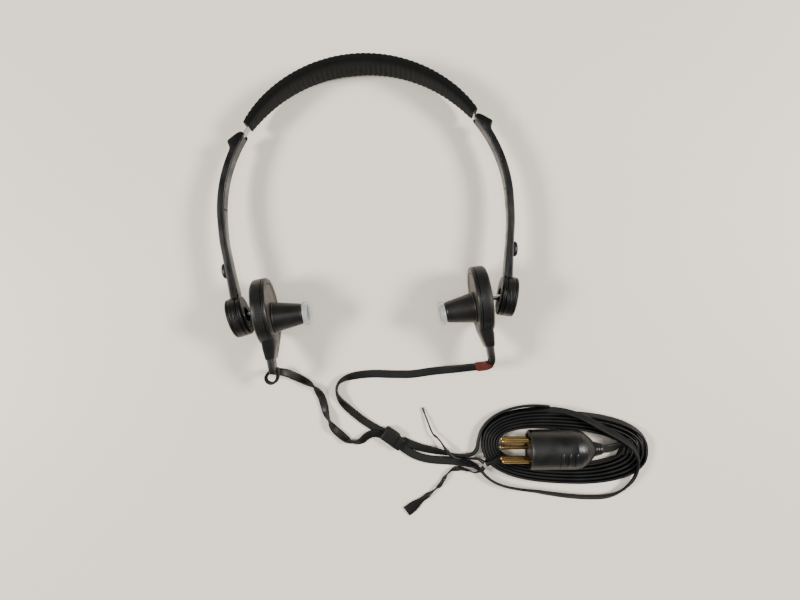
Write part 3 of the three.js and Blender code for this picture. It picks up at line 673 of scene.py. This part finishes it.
def arm_outline():
    """Down the inside, round the foot, up the outside and over the thumb ridge."""
    outline = [on_arc(ARM_INNER, a) for a in np.linspace(ARM_TOP - 1.2, CHANNEL_FOOT, 26)]
    outline += plane_curve([(66.9, 48), (66.7, 37.5), (65.5, 28), (64.1, 19.2)], 18)
    outline += plane_curve([(63.75, 17.6), (63.0, 13), (62.4, 7.2)], 6)
    outline += plane_curve([(66.3, 7.2), (67.5, 17.4), (68.7, 27.5), (69.9, 37), (70.3, 48)], 24)
    outline += [on_arc(ARM_OUTER, a) for a in np.linspace(1.2, 26.6, 22)]
    ridge = [(0.15, 27.5), (0.7, 28.2), (1.7, 28.9), (2.4, 29.4), (2.55, 29.9), (2.4, 30.5),
             (1.7, 31.7), (0.9, 33.2), (0.1, 34.5), (-0.5, 35.2), (-1.2, ARM_TOP)]
    outline += [on_arc(ARM_OUTER + rise, a) for rise, a in ridge]
    return outline + [on_arc(ARM_INNER + rise, a) for rise, a in ((0.8, ARM_TOP), (0.25, 35.2))]


def extruded(outline, width, edge, matrix):
    """A flat moulding: an outline given a width, with its long edges rounded."""
    made = bmesh.new()
    face = made.faces.new([made.verts.new((x, y, -width / 2)) for x, y in outline])
    grown = bmesh.ops.extrude_face_region(made, geom=[face])
    top = [v for v in grown["geom"] if isinstance(v, bmesh.types.BMVert)]
    bmesh.ops.translate(made, verts=top, vec=(0, 0, width))
    rims = [e for e in made.edges if abs(e.verts[0].co.z - e.verts[1].co.z) < 1e-4]
    if edge:
        bmesh.ops.bevel(made, geom=rims, offset=edge, segments=3, affect="EDGES", profile=0.5)
    for vert in made.verts:
        vert.co = matrix @ vert.co * MM
    bmesh.ops.recalc_face_normals(made, faces=made.faces)
    return made


def without(body, tool):
    """The first moulding with the second one's shape taken out of it."""
    objects = []
    for label, part in (("body", body), ("tool", tool)):
        mesh = bpy.data.meshes.new(label)
        part.to_mesh(mesh)
        part.free()
        scratch = bpy.data.objects.new(label, mesh)
        bpy.context.collection.objects.link(scratch)
        objects.append(scratch)
    modifier = objects[0].modifiers.new("cut", "BOOLEAN")
    modifier.operation = "DIFFERENCE"
    modifier.solver = "EXACT"
    modifier.object = objects[1]
    graph = bpy.context.evaluated_depsgraph_get()
    made = bmesh.new()
    made.from_mesh(objects[0].evaluated_get(graph).to_mesh())
    for scratch in objects:
        mesh = scratch.data
        bpy.data.objects.remove(scratch)
        bpy.data.meshes.remove(mesh)
    return made


def eased(profile, ease, closed=True):
    """Rounds the corners of a lathe profile."""
    points = [Vector(p) for p in profile]
    made = []
    for i, p in enumerate(points):
        if not closed and i in (0, len(points) - 1):
            made.append(p)
            continue
        before, after = points[i - 1] - p, points[(i + 1) % len(points)] - p
        reach = min(ease, before.length * 0.45, after.length * 0.45)
        a, b = p + before.normalized() * reach, p + after.normalized() * reach
        made += [a, a * 0.5625 + p * 0.375 + b * 0.0625, a * 0.25 + p * 0.5 + b * 0.25,
                 a * 0.0625 + p * 0.375 + b * 0.5625, b]
    return made


def lathe(made, profile, matrix, closed=True, sides=72):
    """Turns a profile of (radius, distance inward) about an axis that points along -X."""
    rings = []
    for radius, inward in profile:
        count = sides if radius > 1e-4 else 1
        rings.append([made.verts.new(matrix @ Vector((
            -inward, radius * math.cos(2 * math.pi * k / sides),
            radius * math.sin(2 * math.pi * k / sides))) * MM) for k in range(count)])
    pairs = list(zip(rings, rings[1:])) + ([(rings[-1], rings[0])] if closed else [])
    for ring, following in pairs:
        for k in range(sides):
            n = (k + 1) % sides
            corners = [ring[k % len(ring)], ring[n % len(ring)],
                       following[n % len(following)], following[k % len(following)]]
            corners = list(dict.fromkeys(corners))
            if len(corners) > 2:
                made.faces.new(corners)


def turned_piece(name, node, profile, matrix, material, body, closed=True, sides=72):
    """A piece made by turning one profile, fixed to one body."""
    made = bmesh.new()
    lathe(made, profile, matrix, closed, sides)
    piece = finished_piece(name, made, material, [node])
    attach(piece, body)
    return piece


DRUM_CENTRE = Vector((63.5, 0.4, 0))
DRUM_TURN = math.radians(13.2)


def drum_frame(side):
    """From the drum's own drawing, whose -X axis points inward, to the scene's frame."""
    return (side_frame(side) @ Matrix.Translation(DRUM_CENTRE)
            @ Matrix.Rotation(-DRUM_TURN, 4, "Z"))


def arm(side):
    matrix = side_frame(side)
    angles = np.linspace(CHANNEL_FOOT, CHANNEL_TOP, 30)
    channel = [on_arc(ARM_INNER - 1.5, a) for a in angles]
    channel += [on_arc(SLOT_OUTER, a) for a in angles[::-1]]
    body = without(extruded(arm_outline(), ARM_WIDTH, 0.55, matrix),
                   extruded(channel, SLOT_WIDTH, 0, matrix))
    drum = drum_frame(side)
    lathe(body, eased([(6.2, -2.2), (9.5, -2.2), (9.5, -0.75), (9.36, -0.65), (9.36, -0.45),
                       (9.5, -0.35), (9.5, 1.4), (6.2, 1.4)], 0.25), drum)
    made = finished_piece(side + "_arm_moulding", body, arm_plastic, [side + "_arm"])
    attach(made, side + "_slider")
    refinish(side + "_arm_cover", cover_plastic)


def arm_button(side):
    """A low domed stud with a flat underside, pressed into the arm's outer face."""
    made = bmesh.new()
    matrix = (side_frame(side) @ Matrix.Translation(STUD_PLACE)
              @ Matrix.Rotation(-0.1, 4, "Z"))
    rows, around = 10, 48
    rings = []
    for j in range(rows + 1):
        share = j / rows
        height = 1.95 * math.sin(share * math.pi / 2) ** 0.8
        shrink = math.cos(share * math.pi / 2) ** 0.55
        count = around if j < rows else 1
        rings.append([made.verts.new(matrix @ Vector((
            height, 3.7 * shrink * math.cos(2 * math.pi * k / around),
            2.3 * shrink * math.sin(2 * math.pi * k / around))) * MM) for k in range(count)])
    for ring, following in zip(rings, rings[1:]):
        for k in range(around):
            n = (k + 1) % around
            corners = [ring[k], ring[n],
                       following[n % len(following)], following[k % len(following)]]
            made.faces.new(list(dict.fromkeys(corners)))
    made.faces.new(rings[0])
    button = finished_piece(side + "_domed_stud", made, arm_plastic,
                            [side + "_arm_button"])
    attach(button, side + "_slider")


for side_name in ("right", "left"):
    arm(side_name)
    arm_button(side_name)

# Drums and ball joints ------------------------------------------------------------------------
# The arm's cup is closed by a cap outside and a collar inside, both pressed in. A split bush in
# the cup grips a polished steel ball, whose stem carries the ear piece.

BALL_RADIUS = 2.4
BALL_DEPTH = 0.6
STEM_RADIUS = 1.1
bright_chrome = worn_material("bright_chrome", "dcdde0", "b9bcc0", 0.12, 0.1, 2000, 0.02,
                              Metallic=1.0)
bush_plastic = worn_material("bush_plastic", "0c0c0d", "202020", 0.5, 0.2, 2500, 0.2)


def drum(side):
    cap = [(0, -3.5), (6.4, -3.5), (6.8, -3.8), (8.75, -3.8), (9.3, -3.35), (9.3, -3.2),
           (9.15, -3.1), (9.15, -2.95), (9.3, -2.85), (9.3, -2.5), (0, -2.5)]
    turned_piece(side + "_outer_cap", side + "_drum_cap", eased(cap, 0.18, False),
                 drum_frame(side), arm_plastic, side + "_slider", closed=False)
    collar = [(3.6, 2.3), (5.9, 2.3), (6.2, 1.7), (9.5, 1.7), (9.5, 2.35), (9.36, 2.45),
              (9.36, 2.65), (9.5, 2.75), (9.5, 3.3), (9.0, 3.8), (3.6, 3.8)]
    turned_piece(side + "_inner_collar", side + "_drum_collar", eased(collar, 0.2),
                 drum_frame(side), arm_plastic, side + "_slider")
    refinish(side + "_ball_socket", bush_plastic)


REST_TURN = {"right": 3.9, "left": -5.4}


def pod_frame(side):
    """From an ear piece's own drawing, which starts at its ball's middle, to the scene's frame."""
    inward = Vector((-math.cos(DRUM_TURN), math.sin(DRUM_TURN), 0))
    return (side_frame(side) @ Matrix.Translation(DRUM_CENTRE + inward * BALL_DEPTH)
            @ Matrix.Rotation(math.radians(REST_TURN[side]), 4, "Z"))


def ball_and_stem(side):
    neck = math.pi / 2 - math.asin(STEM_RADIUS / BALL_RADIUS)
    ball = [(BALL_RADIUS * math.cos(a), BALL_RADIUS * math.sin(a))
            for a in np.linspace(-math.pi / 2, neck, 20)]
    ball[0] = (0, -BALL_RADIUS)
    flange = eased([(STEM_RADIUS, 4), (STEM_RADIUS, 9.7), (3.6, 9.7), (3.6, 10.5), (0, 10.5)],
                   0.2, False)
    turned_piece(side + "_ball_and_stem", side + "_ball_stem", ball + flange, pod_frame(side),
                 bright_chrome, side + "_swivel", closed=False, sides=40)


for side_name in ("right", "left"):
    drum(side_name)
    ball_and_stem(side_name)

# Ear pieces -----------------------------------------------------------------------------------
# A round back shell and a front ring, moulded in dark satin plastic, hold the flat sound unit.
# A warm grey plate closes the front, a tapered nozzle stands on it, and the tail grips the lead.

POD_RADIUS = 16
NOZZLE_PLACE = (-16.3, -3.2, 0)
NOZZLE_TURN = math.radians(2)
pod_plastic = worn_material("pod_plastic", "070708", "151412", 0.4, 0.2, 2600, 0.2,
                            Specular_IOR_Level=0.35)
plate_finish = worn_material("face_plate", "3c3731", "544d46", 0.45, 0.15, 3200, 0.35)
nozzle_plastic = worn_material("nozzle_plastic", "0e0c0a", "1d1a17", 0.42, 0.2, 2600, 0.2,
                               Specular_IOR_Level=0.4)
clear_silicone = worn_material("clear_silicone", "dfe7e6", "cdd6d6", 0.22, 0.1, 1200, 0.1,
                               Transmission_Weight=0.7, IOR=1.41)
etched_brass = worn_material("etched_brass", "b08d4c", "8d6f3a", 0.4, 0.2, 1500, 0.2,
                             Metallic=0.9)
clear_film = worn_material("clear_film", "cfd2c8", "b9bcb2", 0.25, 0.1, 900, 0.05)


def pod_shell(side):
    matrix = pod_frame(side)
    made = bmesh.new()
    lathe(made, eased([(1.5, 8), (12.2, 8), (15, 8.35), (15.8, 9.1), (POD_RADIUS, 10.5),
                       (POD_RADIUS, 13.6), (14.4, 13.6), (14.4, 10.4), (13, 9.4), (1.5, 9.4)],
                      0.22), matrix, sides=96)
    tail_form(made, matrix, [
        (-11.5, -15.9, -9.2, 9.6), (-14.5, -15.7, -8.8, 8.0), (-17, -15.1, -8.6, 6.6),
        (-19.5, -14.4, -8.8, 5.9), (-21.8, -13.7, -9.0, 5.3), (-22.4, -13.3, -9.2, 5.0)], 0.4)
    shell = finished_piece(side + "_back_shell", made, pod_plastic,
                           [side + "_housing"])
    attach(shell, side + "_earpiece")


def tail_form(made, matrix, stations, ease):
    """A tapered tail of rounded section: stations of (y, inner x, outer x, half width)."""
    rings = []
    for y, inner, outer, half in stations:
        ring = []
        for k in range(32):
            a = 2 * math.pi * k / 32
            x = (inner + outer) / 2 + squared_off(math.cos(a), ease) * (outer - inner) / 2
            z = squared_off(math.sin(a), ease) * half
            ring.append(made.verts.new(matrix @ Vector((x, y, z)) * MM))
        rings.append(ring)
    skin(made, rings)
    made.faces.new(rings[0])
    made.faces.new(list(reversed(rings[-1])))


def strain_relief(side):
    made = bmesh.new()
    tail_form(made, pod_frame(side), [
        (-17.3, -13.0, -9.3, 5.0), (-21.5, -12.95, -9.4, 4.7), (-23.3, -12.85, -9.45, 4.65),
        (-26, -12.8, -9.5, 4.2), (-28.9, -12.6, -9.6, 3.7), (-29.3, -12.4, -9.8, 3.5)], 0.45)
    relief = finished_piece(side + "_cable_tail", made, pod_plastic,
                            [side + "_strain_relief"], 50)
    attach(relief, side + "_earpiece")


def pod_front(side):
    rim = [(13.2, 13.9), (POD_RADIUS, 13.9), (POD_RADIUS, 14.6), (15.82, 14.7),
           (15.82, 14.85), (15.95, 14.95), (15.5, 15.5), (13.2, 15.5)]
    turned_piece(side + "_rim", side + "_front_ring", eased(rim, 0.2), pod_frame(side),
                 pod_plastic, side + "_earpiece", sides=96)
    plate = [(0, 15.15), (11.6, 15.15), (12.0, 15.4), (12.9, 15.4), (12.9, 14.7), (0, 14.7)]
    turned_piece(side + "_front_plate", side + "_face_plate", eased(plate, 0.15, False),
                 pod_frame(side), plate_finish, side + "_earpiece", closed=False)


def nozzle_and_tip(side):
    matrix = (pod_frame(side) @ Matrix.Translation(NOZZLE_PLACE)
              @ Matrix.Rotation(NOZZLE_TURN, 4, "Z"))
    nozzle = [(3.3, -0.9), (7.35, -0.9), (7.35, -0.35), (7.1, -0.2), (7.0, 1),
              (4.95, 12.2), (4.6, 13), (4.0, 13), (4.0, 15), (3.3, 15)]
    turned_piece(side + "_sound_nozzle", side + "_nozzle", eased(nozzle, 0.3), matrix,
                 nozzle_plastic, side + "_earpiece")
    tip = [(4.15, 13.2), (5.25, 13.2), (5.65, 13.9), (5.6, 15.0), (5.0, 15.85), (4.15, 15.8)]
    turned_piece(side + "_soft_tip", side + "_ear_tip", eased(tip, 0.35), matrix,
                 clear_silicone, side + "_earpiece")


for side_name in ("right", "left"):
    pod_shell(side_name)
    strain_relief(side_name)
    pod_front(side_name)
    nozzle_and_tip(side_name)
    for node, finish in (("rear_electrode", etched_brass), ("front_electrode", etched_brass),
                         ("diaphragm", clear_film)):
        refinish(side_name + "_" + node, finish)

# Plug -----------------------------------------------------------------------------------------
# A round moulded rubber body with five gold-plated contact pins in a recessed black insert. Three
# short grip ribs stand on one side, and a small boot closes round the cable at its back.

PLUG_PLACE = (68.555, -120.485, 9.701)
PLUG_TURN = math.radians(-4.3)
PLUG_RADIUS = 9.6
PIN_CIRCLE_RADIUS = 5.5
PIN_RADIUS = 1.15
PIN_PLACES = 6
RIB_MIDDLE = 68
RIB_SWEEP = 48
plug_place = Matrix.Translation(PLUG_PLACE) @ Matrix.Rotation(PLUG_TURN, 4, "Z")
plug_rubber = worn_material("plug_rubber", "060707", "121314", 0.38, 0.2, 2400, 0.25,
                            Specular_IOR_Level=0.4)
insert_plastic = worn_material("insert_plastic", "0a0a0b", "1a1a1a", 0.45, 0.2, 2400, 0.2)
gold_plate = worn_material("gold_plate", "b3935a", "7c6236", 0.22, 0.14, 1500, 0.03, Metallic=1.0)


def plug_body():
    made = bmesh.new()
    profile = [(1.8, -12), (1.8, -31), (4.2, -31), (4.6, -30.6), (5.6, -29.6), (7.0, -28.1),
               (8.3, -26.3), (9.15, -24.3), (PLUG_RADIUS, -21.8), (PLUG_RADIUS, -1.1),
               (9.45, -0.95), (9.45, -0.75), (9.55, -0.6), (9.2, 0), (7.9, 0), (7.9, -12)]
    lathe(made, eased(profile, 0.3), plug_place, sides=96)
    for inward in (-14.3, -17.6, -20.9):
        grip_rib(made, inward)
    body = finished_piece("plug_body", made, plug_rubber, ["plug_shell"])
    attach(body, "headband")
    return body


def grip_rib(made, inward):
    """A short rib that runs part of the way round the body and fades out at both ends."""
    rings = []
    steps = 14
    for i in range(steps + 1):
        share = i / steps
        a = math.radians(RIB_MIDDLE - RIB_SWEEP / 2 + RIB_SWEEP * share)
        rise = 0.55 * math.sin(math.pi * share) ** 0.3
        ring = []
        for along, up in ((-0.75, -0.4), (-0.6, rise * 0.7), (-0.25, rise), (0.25, rise),
                          (0.6, rise * 0.7), (0.75, -0.4)):
            radius = PLUG_RADIUS + up
            ring.append(made.verts.new(plug_place @ Vector((
                -inward + along, -radius * math.cos(a), radius * math.sin(a))) * MM))
        rings.append(ring)
    skin(made, rings)
    made.faces.new(rings[0])
    made.faces.new(list(reversed(rings[-1])))


def contact_pin(number):
    """One of five pins at even steps round a circle, whose sixth place is left empty."""
    a = math.pi / 2 + 2 * math.pi * number / PIN_PLACES
    matrix = plug_place @ Matrix.Translation(
        (0, PIN_CIRCLE_RADIUS * math.cos(a), PIN_CIRCLE_RADIUS * math.sin(a)))
    pin = [(0, -8), (PIN_RADIUS, -8), (PIN_RADIUS, 11.9), (0.95, 12.8), (0.5, 13.3), (0, 13.4)]
    return turned_piece("contact_pin_%d" % number, "plug_pin_%d" % number,
                        eased(pin, 0.35, False), matrix, gold_plate, "headband",
                        closed=False, sides=32)


def cable_boot():
    boot = [(1.5, -31.3), (3.6, -31.3), (3.5, -32.3), (3.05, -32.5), (3.2, -32.9), (3.1, -33.6),
            (2.65, -33.8), (2.8, -34.2), (2.7, -34.9), (2.2, -35.9), (1.5, -35.9)]
    return turned_piece("cable_boot", "plug_cable_boot", eased(boot, 0.15), plug_place,
                        plug_rubber, "headband", sides=48)


plug_pieces = [plug_body(), cable_boot()] + [contact_pin(i) for i in range(1, PIN_PLACES)]
refinish("plug_insert", insert_plastic)

# Twist tie ------------------------------------------------------------------------------------
# A black plastic-covered wire tie goes round the turns at the hank's left end. One end is a thin
# bare twist of wire; the other is a flat ribbon, twisted on itself, that ends in a wide tab.

TIE_PLACE = (52.855, -125.585, 0)
TIE_TURN = math.radians(22)
TIE_HALF_LENGTH = 5.0
TIE_HALF_HEIGHT = 2.4
tie_plastic = worn_material("tie_plastic", "070707", "161717", 0.5, 0.2, 1600, 0.4,
                            Specular_IOR_Level=0.25)


def tie_loop():
    """A band bent round the turns as a squared loop, with a raised wire along its middle."""
    matrix = Matrix.Translation(TIE_PLACE) @ Matrix.Rotation(TIE_TURN, 4, "Z")
    made = bmesh.new()
    steps, rings = 64, []
    for i in range(steps):
        a = 2 * math.pi * i / steps
        x = TIE_HALF_LENGTH * squared_off(math.cos(a), 0.4)
        z = 2.72 + TIE_HALF_HEIGHT * squared_off(math.sin(a), 0.4)
        sway = 0.25 * math.sin(3 * a) + 0.12 * math.sin(7 * a)
        narrow = 1.25 + 0.2 * math.sin(5 * a + 1)
        out = Vector((math.cos(a), 0, math.sin(a)))
        ring = []
        for along, up in ((-1, -0.16), (-0.9, 0.12), (-0.35, 0.06), (0, 0.24), (0.35, 0.06),
                          (0.9, 0.12), (1, -0.16)):
            here = Vector((x, sway + along * narrow, z)) + out * up
            ring.append(made.verts.new(matrix @ Vector((here.x, here.y, max(0.03, here.z))) * MM))
        rings.append(ring)
    skin(made, rings + rings[:1])
    return made


band = finished_piece("tie_loop", tie_loop(), tie_plastic, ["tie_band"], 40)
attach(band, "headband")

THIN_END = [
    (47.3, -126.3, 5.2, 0), (44.5, -124.6, 3.7, 20), (41.5, -124.3, 2.8, 50),
    (37.5, -123.9, 2.6, 90), (33.8, -122.9, 3.5, 130), (31.2, -121.2, 4.4, 170),
    (29.4, -119.0, 4.1, 210),
    (28.2, -117.0, 3.4, 250), (26.6, -114.2, 2.9, 300), (25.2, -112.5, 2.6, 340),
    (23.5, -110.8, 2.3, 380), (22.4, -108.0, 2.0, 420), (21.3, -104.2, 1.6, 460),
    (20.1, -100.2, 1.1, 500), (19.4, -97.4, 0.6, 520),
]
FLAT_END = [
    (47.0, -128.4, 5.3, 0), (44.9, -130.2, 5.1, 30), (42.4, -131.2, 3.4, 60),
    (39.4, -130.4, 1.7, 100), (35.6, -129.2, 1.3, 150), (32.2, -129.3, 1.3, 200),
    (29.5, -130.9, 1.4, 250), (26.9, -133.8, 1.4, 320), (24.7, -136.7, 1.3, 380),
    (21.7, -138.9, 1.2, 450), (18.4, -141.1, 1.1, 520), (14.6, -143.5, 0.9, 545),
    (10.7, -146.2, 0.8, 542), (7.1, -148.5, 0.7, 540),
]


def wire_section(share):
    """A twisted ribbon at first, and a bare wire from its middle on."""
    bare = min(1, max(0, (share - 0.5) / 0.08))
    wide = 0.95 - 0.45 * bare + 0.08 * math.sin(60 * share)
    thick = 0.5 - 0.08 * bare
    return [(wide * math.cos(2 * math.pi * k / 10), thick * math.sin(2 * math.pi * k / 10))
            for k in range(10)]


def ribbon_section(share):
    """A narrow twisted ribbon that widens into a thinner tab at its end."""
    tab = min(1, max(0, (share - 0.72) / 0.2)) ** 1.5
    half = 1.1 + 0.2 * math.sin(45 * share) * (1 - tab) + tab * 1.5
    thick = 0.46 - 0.16 * tab
    return [(-half, -0.12), (-half, 0.12), (-half * 0.6, thick * 0.5), (0, thick),
            (half * 0.6, thick * 0.5), (half, 0.12), (half, -0.12), (half * 0.6, -thick * 0.5),
            (0, -thick), (-half * 0.6, -thick * 0.5)]


for name, points, section, node, width in (
        ("tie_wire_end", THIN_END, wire_section, "tie_thin_end", 1.2),
        ("tie_ribbon_end", FLAT_END, ribbon_section, "tie_flat_end", 2.6)):
    end_route = smooth_route(points, 0.6)
    end = finished_piece(name, swept(end_route, section), tie_plastic, [node], 40)
    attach(end, "headband")
